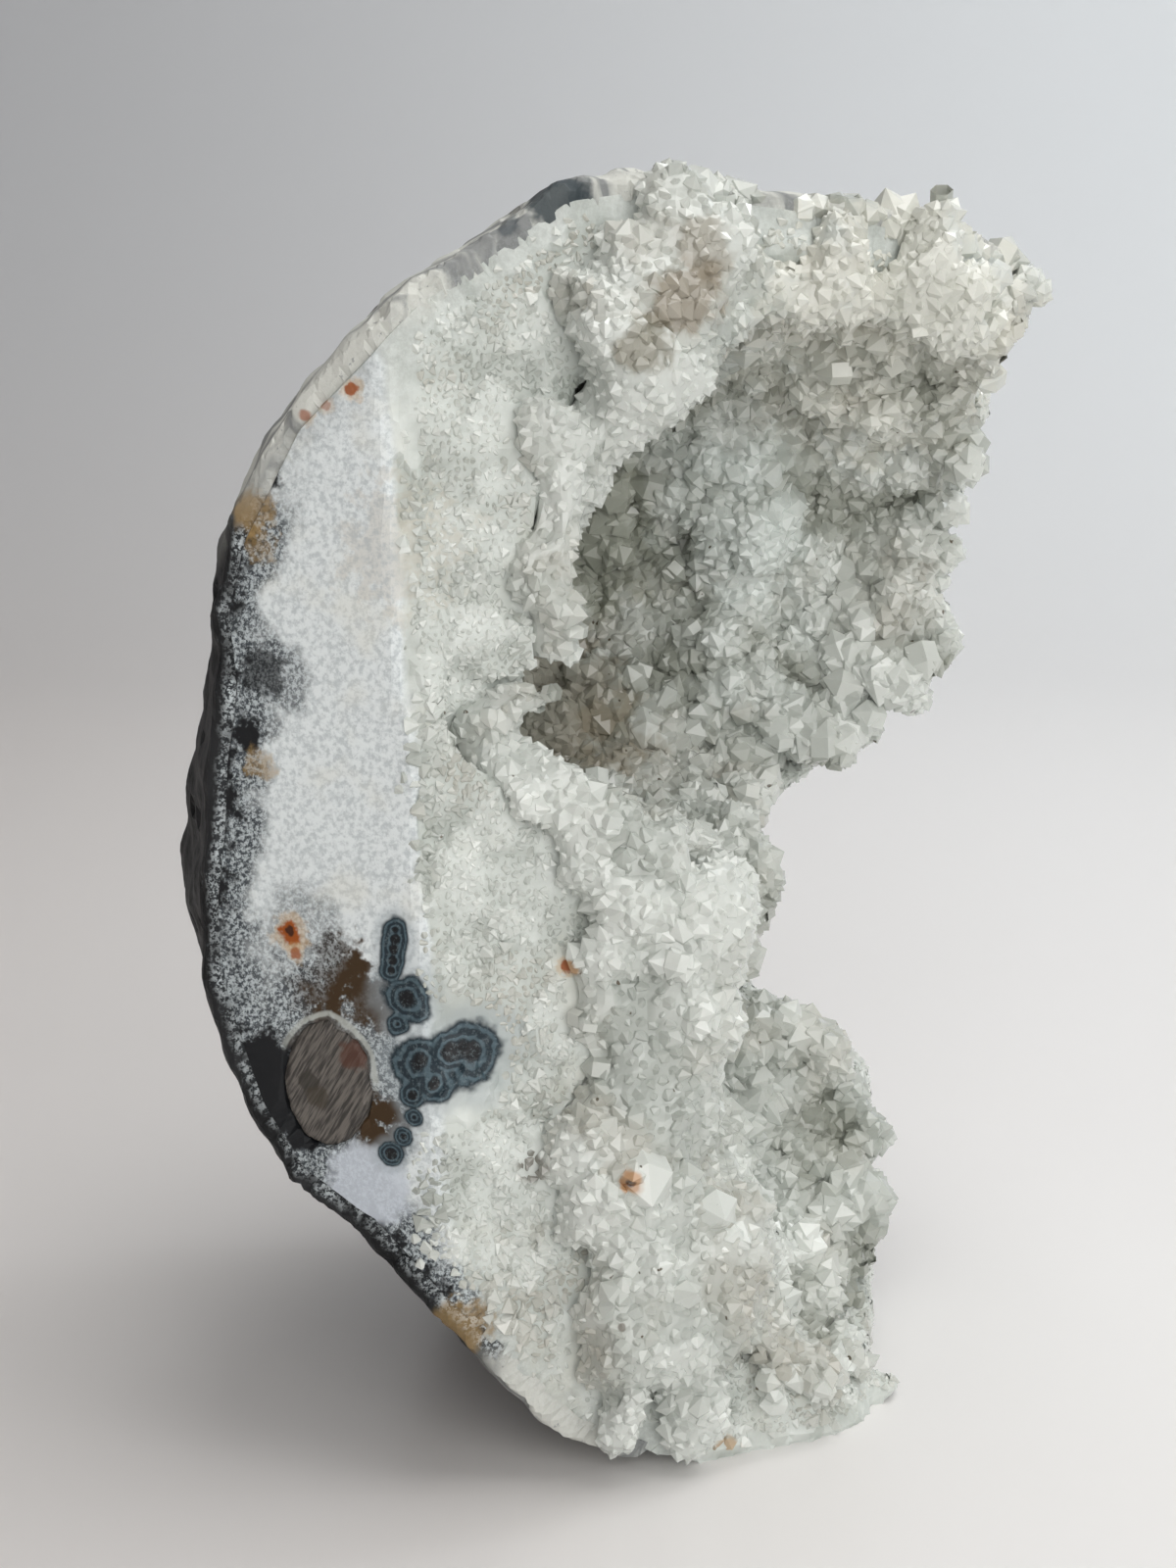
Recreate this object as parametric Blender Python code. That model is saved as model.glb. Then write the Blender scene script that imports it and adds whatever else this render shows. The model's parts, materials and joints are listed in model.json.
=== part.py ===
"""A broken half of a hollow quartz nodule, standing on edge on its small flat spot.

The nodule is a rounded body of massive white quartz with a thin skin of black basalt. Its front
left was sawn flat, its front right is broken away, and the hollow behind is lined with one crust
of quartz points. Every shape is worked out around the nodule's centre, in millimetres, and is
placed so that the flat spot lies at z = 0 straight under that centre.
"""

import math
import random

import bmesh
import bpy
import numpy as np
from mathutils import Vector, noise

MM = 0.001

# The nodule
NODULE_DEPTH = 51.5  # half of it, front to back
NODULE_OUTLINE = (  # from the centre to the skin, every 15 degrees from the right over the top
    49.5, 50.5, 52.0, 53.5, 54.5, 55.0, 55.2, 57.4, 56.6, 54.4, 52.4, 47.8,
    46.4, 47.4, 48.5, 45.8, 49.0, 52.2, 56.6, 56.5, 53.0, 50.0, 49.5, 49.5,
)
FULLNESS = 2.6  # 2 rounds the outline off to the back as an ellipse does, more is fuller
CENTRE_HEIGHT = 53.0  # of the nodule's centre above the flat spot
RIND_THICKNESS = 1.9
RIND_LIFT = 1.4  # the skin is worn away this far up around the flat spot
GAP = 0.3  # between grown-together pieces that are separate solids
CRUST_GAP = 0.45  # the same under the crust, measured towards the lookout
LUMPS = ((26.0, 2.0), (12.0, 0.9))  # of the skin: length, height
SKIN_POINTS = 480

# Broad bumps and hollows of the outside: direction, reach in degrees, height
SKIN_BUMPS = (
    ((-0.98, 0.10, -0.08), 14.0, 5.0),
    ((0.50, 0.36, 0.80), 24.0, 1.5),
    ((-0.26, 0.22, -0.94), 20.0, 4.0),
    ((-0.36, 0.42, -0.83), 19.0, 8.5),
)

# Two faces of the break meet in a ridge at the front left
RIDGE = (-28.0, -20.0)  # x and y of the ridge at the centre's height
SAWN_SLOPE = (-0.376, 0.06)  # how far back the sawn face goes for each mm of x and of z
BROKEN_SLOPE = (0.40, 0.11)  # the same for the broken face on the right of the ridge
RIM_NORMAL = (0.84, -0.54)  # the open side of the bowl looks this way in x and y
RIM_DISTANCE = 14.0

# Rounded hollows inside: centre, half sizes
HOLLOWS = (
    ((4.0, 6.0, 20.5), (29.0, 31.0, 26.5)),
    ((-18.0, 11.0, 18.0), (21.0, 20.0, 21.0)),
    ((17.0, -8.0, -22.0), (24.5, 24.0, 29.0)),
    ((-20.0, -15.0, 10.0), (7.0, 9.0, 4.0)),
)
HOLLOW_BLEND = 5.0  # rounding where the hollows and the broken faces meet
BREAK_LENGTH = 7.0  # of the swells on the broken face
BREAK_HEIGHT = 1.6

# The free space is measured out from this point, in front of the opening
LOOKOUT = (12.0, -34.0, 6.0)
FARTHEST = 96.0

# The far side's edge, as x and z at the depth of the far wall, from the top down to the floor
FAR_EDGE_DEPTH = 28.0
SIGHT_POINT = (-14.0, -214.0, 40.0)  # the edge's sides run along lines to this point
FAR_EDGE = (
    (34.0, 72.0), (29.0, 52.0), (27.0, 46.0), (23.0, 41.0), (25.0, 36.0), (22.0, 28.5),
    (17.5, 21.5), (22.0, 17.0), (19.0, 10.5), (8.0, 0.5), (1.0, -5.0), (-9.5, -7.6),
    (-5.0, -8.2), (0.0, -8.0), (4.0, -11.5), (1.0, -19.0), (1.0, -23.0), (8.0, -25.5),
    (14.0, -32.0), (15.5, -48.0), (15.0, -64.0), (62.0, -76.0), (62.0, 72.0),
)
EDGE_DEPTHS = (-12.0, 8.0, 20.0, 32.0, 44.0, 70.0)  # the outline is roughened anew at each
EDGE_ROUGHNESS = 0.9

# The crust of quartz points
CRYSTAL_SPACING = 3.9
BARE_SPACING = 4.6
VOID_SPACING = 17.0
NEAR_ROCK = 8.0
CANDIDATES = 30000
CRUST_THICKNESS = 2.2
POINT_HEIGHT = (0.8, 2.6)
POINT_TILT = 0.9
GROWTH_LEAN = 0.35
CRUST_CLEARANCE = 4.5  # of the lowest crystals' middles above the flat spot's level
TALL_SHARE = 0.3
SHOULDER_HEIGHT = 0.5  # of a tall crystal's prism, as a share of its height
SHOULDER_WIDTH = 0.82

# Where the crust ends on the broken face: x and z, from the top down
CRUST_EDGE = (
    (-15.0, 60.0), (-16.0, 50.0), (-18.0, 43.0), (-17.0, 37.0), (-22.0, 30.0), (-18.5, 22.0),
    (-18.0, 13.0), (-21.0, 9.0), (-18.0, 3.0), (-18.0, -12.0), (-16.5, -22.0), (-17.0, -31.0),
    (-17.0, -40.0), (-12.0, -50.0), (-7.0, -60.0),
)
INSIDE_DEPTH = 3.5  # behind the broken face, the hollow's walls are covered wherever they are

# Rounded clumps of the crust: centre, reach, height
CLUMPS = (
    ((-12.0, -9.0, 44.0), 8.5, 5.5),
    ((-19.5, -5.0, 31.0), 6.0, 4.5),
    ((-9.0, 20.0, 40.0), 8.0, 5.0),
    ((1.0, 34.0, 27.0), 9.0, 12.0),
    ((0.0, 32.0, 10.0), 8.0, 9.0),
    ((8.0, 22.0, 47.0), 8.0, 5.5),
    ((18.0, 20.0, 45.0), 7.0, 5.0),
    ((16.0, 33.0, 30.0), 7.0, 4.0),
    ((17.0, 33.0, 15.0), 7.0, 4.0),
    ((-6.0, -11.0, -7.0), 4.5, 4.0),
    ((-12.0, -13.0, -2.0), 5.0, 2.5),
    ((-7.0, -11.0, -17.0), 5.5, 3.0),
    ((-13.0, -14.0, -30.0), 5.5, 3.5),
    ((-6.0, -12.0, -42.0), 5.5, 4.0),
    ((-1.0, -9.0, -33.0), 5.0, 4.5),
    ((-13.0, -16.0, -43.0), 5.0, 2.5),
    ((8.0, 13.0, -26.0), 6.5, 3.5),
    ((9.0, 12.0, -40.0), 6.5, 4.0),
    ((-1.0, 10.0, -6.0), 6.0, 4.0),
    ((-26.0, 16.0, 20.0), 8.0, 4.0),
    ((-22.0, 22.0, 8.0), 7.0, 4.0),
)
KNOB_LENGTH = 9.0
KNOB_HEIGHT = 2.8
KNOB_DEPTH = 0.5  # of the dips between the knobs

# The brown lump of basalt in the sawn face
INCLUSION_AT = (-35.5, -18.5)
INCLUSION_HALF = (3.9, 4.2, 5.2)
INCLUSION_FINENESS = 2  # times that the ball it is made from is split finer
POCKET_DEPTH = 0.8  # of the lump's centre behind the face

SEED = 11
FAR_AWAY = 160.0


def sawn_face_y(x, z):
    return RIDGE[1] + SAWN_SLOPE[0] * (x - RIDGE[0]) + SAWN_SLOPE[1] * z


def broken_face_y(x, z):
    return RIDGE[1] + BROKEN_SLOPE[0] * (x - RIDGE[0]) + BROKEN_SLOPE[1] * z


def knobs(point, length, height):
    """Rounded swells: the noise of a point, as a distance."""
    return height * noise.noise(Vector(point) / length)


def outline_radius(direction):
    """The outline as seen from the front, rounded between its measured points."""
    turn = math.atan2(direction.z, direction.x) / (2 * math.pi) * len(NODULE_OUTLINE)
    before = math.floor(turn)
    share = (1 - math.cos((turn - before) * math.pi)) / 2
    first = NODULE_OUTLINE[before % len(NODULE_OUTLINE)]
    second = NODULE_OUTLINE[(before + 1) % len(NODULE_OUTLINE)]
    return first * (1 - share) + second * share


def skin_radius(direction, depth=0.0):
    """From the nodule's centre to its outside, less a depth below the skin."""
    direction = direction.normalized()
    across = math.hypot(direction.x, direction.z) / outline_radius(direction)
    along = abs(direction.y) / NODULE_DEPTH
    radius = (across**FULLNESS + along**FULLNESS) ** (-1 / FULLNESS)
    for towards, reach, height in SKIN_BUMPS:
        angle = math.degrees(direction.angle(Vector(towards)))
        radius += height * math.exp(-((angle / reach) ** 2))
    for length, height in LUMPS:
        radius += knobs(direction * NODULE_DEPTH, length, height)
    return radius - depth


def smooth_max(values, blend):
    """The largest value, rounded over where two are close."""
    largest = values[0]
    for value in values[1:]:
        closeness = max(blend - abs(largest - value), 0.0) / blend
        largest = max(largest, value) + closeness * closeness * blend / 4
    return largest


def distance_to_plane(normal, offset, ray):
    """Along a ray from the lookout to the plane normal . p = offset, or as far as it goes."""
    speed = normal.dot(ray)
    height = normal.dot(Vector(LOOKOUT)) - offset
    if speed * height >= 0:
        return FARTHEST
    return min(-height / speed, FARTHEST)


def distance_out_of(centre, half, ray):
    """Along a ray from the lookout to where it leaves an ellipsoid, or 0 if it misses it."""
    start = [(a - b) / h for a, b, h in zip(LOOKOUT, centre, half)]
    step = [r / h for r, h in zip(ray, half)]
    a = sum(s * s for s in step)
    b = sum(p * s for p, s in zip(start, step))
    c = sum(p * p for p in start) - 1
    inside = b * b - a * c
    if inside < 0:
        return 0.0
    return max((math.sqrt(inside) - b) / a, 0.0)


def opening_point(ray):
    """Where a ray from the lookout meets the broken quartz: the surface under the crust."""
    broken = Vector((BROKEN_SLOPE[0], -1.0, BROKEN_SLOPE[1]))
    broken_offset = BROKEN_SLOPE[0] * RIDGE[0] - RIDGE[1]
    rim = Vector((RIM_NORMAL[0], RIM_NORMAL[1], 0.0))
    distances = [
        distance_to_plane(broken, broken_offset, ray),
        distance_to_plane(rim, RIM_DISTANCE, ray),
    ]
    distances += [distance_out_of(centre, half, ray) for centre, half in HOLLOWS]
    distance = smooth_max(distances, HOLLOW_BLEND)
    distance += knobs(Vector(LOOKOUT) + ray * distance, BREAK_LENGTH, BREAK_HEIGHT)
    return Vector(LOOKOUT) + ray * min(distance, FARTHEST)


def left_of(line, x, z):
    """Whether a point is on the left of a line of points that runs from the top down."""
    for (x0, z0), (x1, z1) in zip(line, line[1:]):
        if z1 <= z <= z0:
            return x < x0 + (x1 - x0) * (z0 - z) / (z0 - z1)
    return True


def inside_outline(outline, x, z):
    inside = False
    for (x0, z0), (x1, z1) in zip(outline, outline[1:] + outline[:1]):
        if (z0 > z) != (z1 > z) and x < x0 + (x1 - x0) * (z - z0) / (z1 - z0):
            inside = not inside
    return inside


def along_sight(x, z, depth):
    """A point of the far edge's outline, moved along its line of sight to another depth."""
    scale = (depth - SIGHT_POINT[1]) / (FAR_EDGE_DEPTH - SIGHT_POINT[1])
    return SIGHT_POINT[0] + (x - SIGHT_POINT[0]) * scale, SIGHT_POINT[2] + (z - SIGHT_POINT[2]) * scale


def beyond_far_edge(point):
    scale = (FAR_EDGE_DEPTH - SIGHT_POINT[1]) / (point.y - SIGHT_POINT[1])
    x = SIGHT_POINT[0] + (point.x - SIGHT_POINT[0]) * scale
    z = SIGHT_POINT[2] + (point.z - SIGHT_POINT[2]) * scale
    return inside_outline(FAR_EDGE, x, z)


def is_rock(point, margin):
    """Whether a point lies in the nodule, at least a margin below its skin."""
    if point.z + CENTRE_HEIGHT < margin:
        return False
    return point.length < skin_radius(point, margin)


def carries_crust(point):
    if not is_rock(point, RIND_THICKNESS) or beyond_far_edge(point):
        return False
    if point.z + CENTRE_HEIGHT < CRUST_CLEARANCE:
        return False
    if point.y < sawn_face_y(point.x, point.z):
        return False
    if point.y > broken_face_y(point.x, point.z) + INSIDE_DEPTH:
        return True
    return not left_of(CRUST_EDGE, point.x, point.z)


def clump_height(point):
    """How much thicker the crust is at a point than its plain thickness."""
    height = max(knobs(point, KNOB_LENGTH, KNOB_HEIGHT), -KNOB_DEPTH)
    for centre, reach, most in CLUMPS:
        away = (point - Vector(centre)).length / reach
        height += most * math.exp(-away * away)
    return height


def new_object(name, mesh, colour, roughness):
    material = bpy.data.materials.new(name)
    material.use_nodes = True
    shader = material.node_tree.nodes["Principled BSDF"]
    shader.inputs["Base Color"].default_value = (*colour, 1.0)
    shader.inputs["Roughness"].default_value = roughness
    shader.inputs["Metallic"].default_value = 0.0
    mesh.materials.append(material)
    thing = bpy.data.objects.new(name, mesh)
    thing.location = (0.0, 0.0, CENTRE_HEIGHT * MM)
    bpy.context.collection.objects.link(thing)
    return thing


def new_cutter(name, shape):
    """An object that only cuts others."""
    cutter = bpy.data.objects.new(name, mesh_of(name, shape))
    cutter.location = (0.0, 0.0, CENTRE_HEIGHT * MM)
    cutter.hide_render = True
    cutter.display_type = "WIRE"
    bpy.context.collection.objects.link(cutter)
    return cutter


def mesh_of(name, shape):
    """A mesh in metres from a bmesh in millimetres, which is freed."""
    bmesh.ops.scale(shape, vec=(MM, MM, MM), verts=shape.verts)
    mesh = bpy.data.meshes.new(name)
    shape.to_mesh(mesh)
    shape.free()
    return mesh


def cut(thing, cutter):
    modifier = thing.modifiers.new(f"cut by {cutter.name}", "BOOLEAN")
    modifier.operation = "DIFFERENCE"
    modifier.solver = "EXACT"
    modifier.object = cutter


def even_directions(count):
    """Directions spread evenly over a sphere, along a spiral from pole to pole."""
    golden = math.pi * (3 - math.sqrt(5))
    for i in range(count):
        z = 1 - (2 * i + 1) / count
        flat = math.sqrt(1 - z * z)
        yield Vector((flat * math.cos(golden * i), flat * math.sin(golden * i), z))


def nodule_body(depth):
    """The whole rounded nodule, with its skin taken off to a depth."""
    shape = bmesh.new()
    for direction in even_directions(SKIN_POINTS):
        shape.verts.new(direction)
    bmesh.ops.convex_hull(shape, input=shape.verts)
    for vert in shape.verts:
        vert.co = vert.co.normalized() * skin_radius(vert.co, depth)
    bmesh.ops.recalc_face_normals(shape, faces=shape.faces)
    return shape


def growth_seeds():
    """Rays from the lookout, spaced by distance on the broken surface: one for each crystal."""
    chance = random.Random(SEED)
    rays = []
    taken = np.empty((0, 3))
    for _ in range(CANDIDATES):
        ray = Vector((chance.gauss(0, 1), chance.gauss(0, 1), chance.gauss(0, 1))).normalized()
        point = opening_point(ray)
        if carries_crust(point):
            spacing = CRYSTAL_SPACING
        elif is_rock(point, -NEAR_ROCK):
            spacing = BARE_SPACING
        else:
            spacing = VOID_SPACING
        if len(rays) and np.min(np.linalg.norm(taken - np.array(point), axis=1)) < spacing:
            continue
        rays.append(ray)
        taken = np.vstack((taken, np.array(point)))
    return rays


def faces_around(vert):
    """The faces at a vert, in order around it."""
    first = vert.link_loops[0]
    loop = first
    ring = []
    while True:
        ring.append(loop.face)
        loop = loop.link_loop_prev.link_loop_radial_next
        if loop == first:
            return ring


def folds(ring, rays):
    """How many triangles of a fan from the ring's first corner are turned over."""
    first = rays[ring[0]]
    turns = [(rays[a] - first).cross(rays[b] - first).dot(first) for a, b in zip(ring[1:], ring[2:])]
    return min(sum(turn > 0 for turn in turns), sum(turn < 0 for turn in turns))


def unfolded(ring, rays):
    """The ring, started at a corner from which a fan of triangles doesn't fold over itself."""
    return min((ring[i:] + ring[:i] for i in range(len(ring))), key=lambda turned: folds(turned, rays))


def growth_direction(point, normal):
    """Out of the rock, leaning towards the lookout, so that points on steep ground don't cross."""
    to_lookout = (Vector(LOOKOUT) - point).normalized()
    return (to_lookout * GROWTH_LEAN - normal.normalized() * (1 - GROWTH_LEAN)).normalized()


class BrokenSurface:
    """The surface under the crust, in cells: one polygon around each seed."""

    def __init__(self):
        net = bmesh.new()
        for ray in growth_seeds():
            net.verts.new(ray)
        bmesh.ops.convex_hull(net, input=net.verts)
        bmesh.ops.recalc_face_normals(net, faces=net.faces)
        net.faces.index_update()
        rays = [face.calc_center_median().normalized() for face in net.faces]
        self.corners = [opening_point(ray) for ray in rays]
        rings = [[face.index for face in faces_around(vert)] for vert in net.verts]
        self.cells = [unfolded(ring, rays) for ring in rings]
        self.seeds = [opening_point(vert.co.normalized()) for vert in net.verts]
        for vert, seed in zip(net.verts, self.seeds):
            vert.co = seed
        net.normal_update()
        self.growth = [growth_direction(vert.co, vert.normal) for vert in net.verts]
        self.corner_growth = [
            growth_direction(at, sum((vert.normal for vert in face.verts), Vector()))
            for at, face in zip(self.corners, net.faces)
        ]
        net.free()

    def opening_body(self):
        """All the free space in front of the broken surface, as one closed body."""
        shape = bmesh.new()
        verts = [shape.verts.new(corner) for corner in self.corners]
        for cell in self.cells:
            for a, b in zip(cell[1:], cell[2:]):
                shape.faces.new((verts[cell[0]], verts[a], verts[b]))
        bmesh.ops.recalc_face_normals(shape, faces=shape.faces)
        return shape

    def crust_cells(self):
        """The cells that carry crust, less any that aren't joined to the rest."""
        chosen = {i for i, seed in enumerate(self.seeds) if carries_crust(seed)}
        edges = {}
        for i in chosen:
            cell = self.cells[i]
            for a, b in zip(cell, cell[1:] + cell[:1]):
                edges.setdefault(frozenset((a, b)), []).append(i)
        neighbours = {i: set() for i in chosen}
        for pair in edges.values():
            if len(pair) == 2:
                neighbours[pair[0]].add(pair[1])
                neighbours[pair[1]].add(pair[0])
        largest = set()
        while chosen:
            patch = {chosen.pop()}
            border = set(patch)
            while border:
                border = {n for i in border for n in neighbours[i]} & chosen
                chosen -= border
                patch |= border
            if len(patch) > len(largest):
                largest = patch
        return sorted(largest)


def grow_crystal(shape, base, up, height, tall, chance):
    """One quartz point on a ring of base verts: a pyramid, on a short prism if it is tall."""
    middle = sum((vert.co for vert in base), Vector()) / len(base)
    lean = Vector((chance.uniform(-1, 1), chance.uniform(-1, 1), chance.uniform(-1, 1))) * POINT_TILT
    tip_at = middle + up * height + (lean - up * lean.dot(up)) * min(height / POINT_HEIGHT[1], 1.0)
    ring = base
    if tall:
        rise = (tip_at - middle) * SHOULDER_HEIGHT
        ring = [shape.verts.new(middle + (v.co - middle) * SHOULDER_WIDTH + rise) for v in base]
        for i, vert in enumerate(base):
            j = (i + 1) % len(base)
            shape.faces.new((vert, base[j], ring[j], ring[i]))
    tip = shape.verts.new(tip_at)
    for i, vert in enumerate(ring):
        shape.faces.new((vert, ring[(i + 1) % len(ring)], tip))


def crystal_crust(surface):
    """The crust that lines the hollow: a closed sheet of cells, each with its own quartz point."""
    chance = random.Random(SEED)
    shape = bmesh.new()
    cells = surface.crust_cells()
    used = sorted({corner for i in cells for corner in surface.cells[i]})
    back = {}
    front = {}
    for corner in used:
        at = surface.corners[corner]
        up = surface.corner_growth[corner]
        foot = at + (Vector(LOOKOUT) - at).normalized() * CRUST_GAP
        back[corner] = shape.verts.new(foot)
        front[corner] = shape.verts.new(foot + up * (CRUST_THICKNESS + clump_height(at)))
    sides = {}
    for i in cells:
        cell = surface.cells[i]
        for a, b in zip(cell[1:], cell[2:]):
            shape.faces.new((back[cell[0]], back[a], back[b]))
        height = chance.uniform(*POINT_HEIGHT)
        ring = [front[corner] for corner in cell]
        grow_crystal(shape, ring, surface.growth[i], height, chance.random() < TALL_SHARE, chance)
        for a, b in zip(cell, cell[1:] + cell[:1]):
            key = frozenset((a, b))
            sides[key] = None if key in sides else (a, b)
    for pair in sides.values():
        if pair:
            a, b = pair
            shape.faces.new((front[a], front[b], back[b], back[a]))
    bmesh.ops.recalc_face_normals(shape, faces=shape.faces)
    mesh = mesh_of("crystal_crust", shape)
    return new_object("crystal_crust", mesh, (0.80, 0.82, 0.77), 0.25)


def saw_cutter():
    """A thick plate whose back is the sawn face."""
    shape = bmesh.new()
    ring = []
    for x, z in ((-FAR_AWAY, -FAR_AWAY), (FAR_AWAY, -FAR_AWAY), (FAR_AWAY, FAR_AWAY), (-FAR_AWAY, FAR_AWAY)):
        ring.append(shape.verts.new((x, sawn_face_y(x, z), z)))
    face = shape.faces.new(ring)
    moved = bmesh.ops.extrude_face_region(shape, geom=[face])["geom"]
    lifted = [item for item in moved if isinstance(item, bmesh.types.BMVert)]
    bmesh.ops.translate(shape, vec=(0.0, -2 * FAR_AWAY, 0.0), verts=lifted)
    bmesh.ops.recalc_face_normals(shape, faces=shape.faces)
    return new_cutter("saw_cut", shape)


def far_edge_cutter():
    """The part broken off the far side: the edge's outline carried along the lines of sight."""
    shape = bmesh.new()
    chance = random.Random(SEED)
    rings = []
    for depth in EDGE_DEPTHS:
        ring = []
        for x, z in FAR_EDGE:
            x, z = along_sight(x, z, depth)
            shift = Vector((chance.uniform(-1, 1), 0.0, chance.uniform(-1, 1))) * EDGE_ROUGHNESS
            ring.append(shape.verts.new(Vector((x, depth, z)) + shift))
        rings.append(ring)
    for near, far in zip(rings, rings[1:]):
        for i, vert in enumerate(near):
            j = (i + 1) % len(near)
            shape.faces.new((vert, near[j], far[j], far[i]))
    shape.faces.new(rings[0])
    shape.faces.new(rings[-1])
    bmesh.ops.recalc_face_normals(shape, faces=shape.faces)
    bmesh.ops.triangulate(shape, faces=shape.faces)
    return new_cutter("far_edge_cut", shape)


def floor_cutter(name, above):
    """Everything below a level, which leaves the flat spot."""
    shape = bmesh.new()
    bmesh.ops.create_cube(shape, size=2 * FAR_AWAY)
    bmesh.ops.translate(shape, vec=(0.0, 0.0, above - CENTRE_HEIGHT - FAR_AWAY), verts=shape.verts)
    return new_cutter(name, shape)


def inclusion_shape(extra):
    """The brown lump as a whole egg, or the pocket that it lies in with some extra room."""
    shape = bmesh.new()
    bmesh.ops.create_icosphere(shape, subdivisions=INCLUSION_FINENESS, radius=1.0)
    x, z = INCLUSION_AT
    middle = Vector((x, sawn_face_y(x, z) + POCKET_DEPTH, z))
    bmesh.ops.scale(shape, vec=[half + extra for half in INCLUSION_HALF], verts=shape.verts)
    bmesh.ops.translate(shape, vec=middle, verts=shape.verts)
    return shape


def main():
    for thing in list(bpy.data.objects):
        bpy.data.objects.remove(thing, do_unlink=True)
    surface = BrokenSurface()
    opening = new_cutter("opening_cut", surface.opening_body())
    saw = saw_cutter()
    far_edge = far_edge_cutter()
    floor = floor_cutter("floor_cut", 0.0)
    rind_floor = floor_cutter("rind_floor_cut", RIND_LIFT)
    core = new_cutter("core_cut", nodule_body(RIND_THICKNESS))
    pocket = new_cutter("pocket_cut", inclusion_shape(GAP))

    wall_mesh = mesh_of("quartz_wall", nodule_body(RIND_THICKNESS + GAP))
    wall = new_object("quartz_wall", wall_mesh, (0.80, 0.82, 0.82), 0.55)
    for cutter in (opening, saw, far_edge, floor, pocket):
        cut(wall, cutter)

    rind_mesh = mesh_of("basalt_rind", nodule_body(0.0))
    rind = new_object("basalt_rind", rind_mesh, (0.03, 0.032, 0.035), 0.6)
    for cutter in (core, opening, saw, far_edge, rind_floor):
        cut(rind, cutter)

    lump_mesh = mesh_of("basalt_inclusion", inclusion_shape(0.0))
    lump = new_object("basalt_inclusion", lump_mesh, (0.16, 0.12, 0.09), 0.6)
    cut(lump, saw)

    crystal_crust(surface)


main()
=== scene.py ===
# %% [markdown]
# # A quartz geode on a pale table
# The real thing is half of a hollow stone, as big as a fist. Hot water left a thick white wall
# of quartz inside a bubble of black basalt, and the last of it grew a crust of small clear
# points. A saw took a flat slice off the front left, the front right broke away by hand, and the
# stone now stands on edge.
#
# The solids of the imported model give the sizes. Each piece here starts as a copy of its solid and
# gets what the solid can't have: grain, pits, stains, and thousands of crystals.

import json
import math
import random

import bmesh
import bpy
import numpy as np
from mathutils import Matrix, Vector, noise
from mathutils.bvhtree import BVHTree

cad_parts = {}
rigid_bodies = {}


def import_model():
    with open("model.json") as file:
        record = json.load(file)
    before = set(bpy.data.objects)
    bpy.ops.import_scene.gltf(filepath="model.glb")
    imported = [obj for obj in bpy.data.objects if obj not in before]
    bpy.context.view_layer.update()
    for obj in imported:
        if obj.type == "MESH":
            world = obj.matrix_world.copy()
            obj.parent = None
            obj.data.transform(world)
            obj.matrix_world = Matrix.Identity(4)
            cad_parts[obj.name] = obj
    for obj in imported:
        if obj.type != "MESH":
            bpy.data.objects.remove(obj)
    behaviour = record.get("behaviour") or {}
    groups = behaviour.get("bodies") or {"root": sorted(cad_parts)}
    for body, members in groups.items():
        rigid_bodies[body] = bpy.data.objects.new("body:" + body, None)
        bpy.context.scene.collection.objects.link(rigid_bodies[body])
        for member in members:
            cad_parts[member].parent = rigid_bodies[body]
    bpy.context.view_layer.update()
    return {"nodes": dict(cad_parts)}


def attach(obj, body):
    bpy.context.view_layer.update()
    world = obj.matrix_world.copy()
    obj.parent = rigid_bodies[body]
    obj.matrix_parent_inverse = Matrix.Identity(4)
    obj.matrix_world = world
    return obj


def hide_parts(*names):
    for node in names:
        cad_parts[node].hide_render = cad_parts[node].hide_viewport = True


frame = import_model()
MM = 0.001
print("solids:", sorted(frame["nodes"]))

# %% [markdown]
# ## The camera
# The photograph was taken from close by, about a hand's length and a half away, and a little
# from above. A near camera makes the far lip of the hollow look smaller than the cut face, so
# the distance matters as much as the angle. The lens follows from the height of the picture.

# %% Camera
AIM = Vector((-14.0, 2.0, 56.32)) * MM
CAMERA_DISTANCE = 220 * MM
CAMERA_TILT = math.radians(80)  # 90 would look level
CAMERA_LENS = 56.25  # for a picture 36 mm high

towards_camera = Vector((0.0, -math.sin(CAMERA_TILT), math.cos(CAMERA_TILT)))
bpy.ops.object.camera_add(location=AIM + towards_camera * CAMERA_DISTANCE)
camera = bpy.context.object
camera.name = "camera"
camera.rotation_euler = (CAMERA_TILT, 0.0, 0.0)
camera.data.lens = CAMERA_LENS
camera.data.sensor_width = 36.0
camera.data.sensor_height = 36.0
camera.data.clip_start = 0.01
bpy.context.scene.camera = camera
print("camera at", [round(c / MM) for c in camera.location], "mm")

# %% [markdown]
# ## Small tools for every piece
# Blender's operators act on what is selected, so each step first selects just its own object.
# A copy of a solid is merged first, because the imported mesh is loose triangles. The Remesh
# modifier then gives it small even faces, which the carving below can move one by one.


# %% Select, copy, remesh
def pick(thing):
    bpy.ops.object.select_all(action="DESELECT")
    thing.select_set(True)
    bpy.context.view_layer.objects.active = thing


def apply_modifier(thing, modifier):
    pick(thing)
    bpy.ops.object.modifier_apply(modifier=modifier.name)


def copy_of_solid(node, name):
    """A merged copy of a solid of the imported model."""
    thing = bpy.data.objects.new(name, frame["nodes"][node].data.copy())
    bpy.context.collection.objects.link(thing)
    thing.data.name = name
    thing.data.materials.clear()
    pick(thing)
    bpy.ops.object.mode_set(mode="EDIT")
    bpy.ops.mesh.select_all(action="SELECT")
    bpy.ops.mesh.remove_doubles(threshold=0.001 * MM)
    bpy.ops.mesh.normals_make_consistent(inside=False)
    bpy.ops.object.mode_set(mode="OBJECT")
    return thing


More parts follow.
